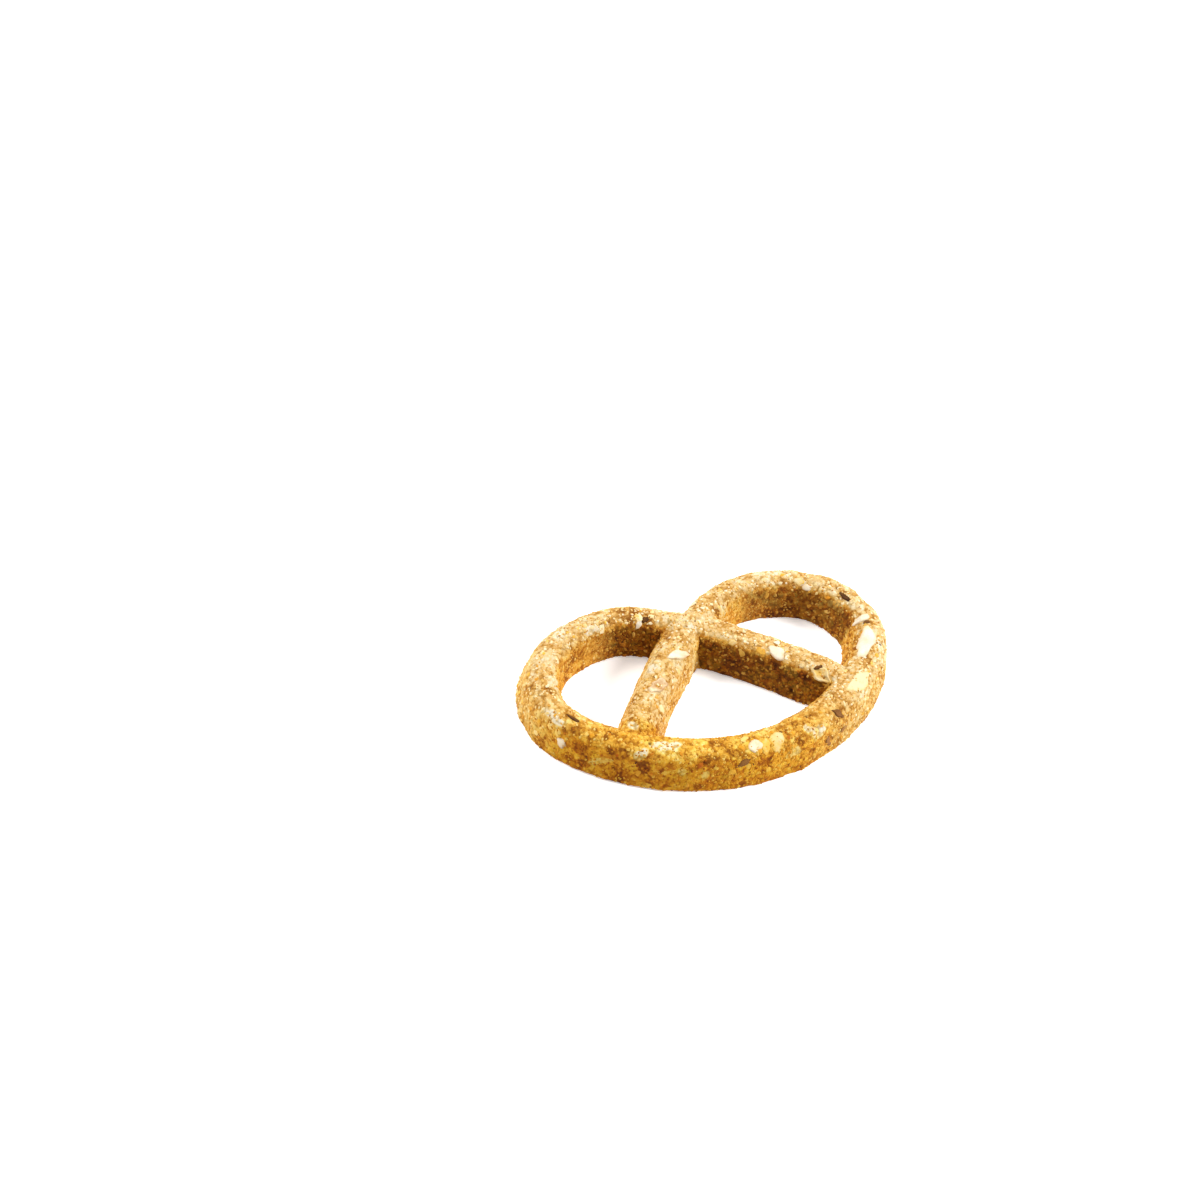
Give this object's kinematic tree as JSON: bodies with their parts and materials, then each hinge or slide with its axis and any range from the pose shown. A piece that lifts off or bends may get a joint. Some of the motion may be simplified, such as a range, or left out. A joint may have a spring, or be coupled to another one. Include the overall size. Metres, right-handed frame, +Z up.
{
  "type": "pretzel-shaped grain biscuit",
  "caption": "Small hard-baked biscuit in a pretzel shape, of coarse oat, bran and maize crumb: a flat base, rounded crust, a wide bow, two lobes and two arms round open holes.",
  "frame": {"origin": "middle of the flat base, at the bottom centre of the bounding box", "axes": "+X across the two lobes, -Y towards the bow, +Y towards the lobes, +Z up through the thickness"},
  "size_m": [0.0522, 0.0312, 0.006],
  "materials": {
    "crumb": "matte coarse-grained baked crust, golden tan with paler grains"
  },
  "bodies": {
    "root": {"biscuit": "crumb"}
  },
  "joints": []
}
